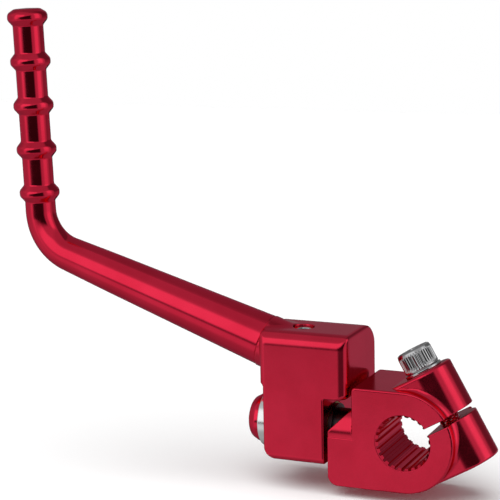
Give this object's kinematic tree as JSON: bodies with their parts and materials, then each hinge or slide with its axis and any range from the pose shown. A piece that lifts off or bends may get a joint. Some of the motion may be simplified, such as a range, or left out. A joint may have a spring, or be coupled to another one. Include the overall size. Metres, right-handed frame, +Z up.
{
  "type": "folding kick-start lever",
  "caption": "Folding kick-start lever: splined clamp hub with pinch bolt, knuckle on a steel pivot, and a bent tapered arm with a ribbed foot peg.",
  "frame": {"origin": "centre of the splined bore, halfway through the hub", "axes": "-X along the pivot axis from the bore out to the knuckle, +Y along the bore towards the engine, +Z up, with the lever folded away and its peg upright"},
  "size_m": [0.1483, 0.024, 0.1319],
  "materials": {
    "red_anodised": "satin red anodised",
    "bolt_steel": "bright zinc-plated",
    "pivot_steel": "ground",
    "bush_bronze": "sintered bronze"
  },
  "bodies": {
    "hub": {"hub_clamp": "red_anodised", "pinch_bolt": "bolt_steel", "pinch_washer": "bolt_steel", "pivot_shaft": "pivot_steel", "shaft_dowel": "pivot_steel", "pivot_washer": "pivot_steel", "pivot_cap": "red_anodised", "thrust_washer": "pivot_steel"},
    "lever": {"knuckle_block": "red_anodised", "outer_bush": "bush_bronze", "inner_bush": "bush_bronze", "lever_arm": "red_anodised", "arm_dowel": "pivot_steel", "detent_spring": "pivot_steel", "detent_screw": "bolt_steel"},
    "ball": {"detent_ball": "pivot_steel"}
  },
  "joints": [
    {"name": "swing_out", "type": "hinge", "parent": "hub", "child": "lever", "pos_m": [-0.0324, -0.0015, 0.0005], "axis": [1, 0, 0], "range_deg": [0, 90]},
    {"name": "detent_travel", "type": "slide", "parent": "lever", "child": "ball", "axis": [0, 0, 1], "range_m": [0, 0.0008], "stiffness_N_per_m": 2000, "springref_m": -0.004, "deforming": ["detent_spring"]}
  ]
}
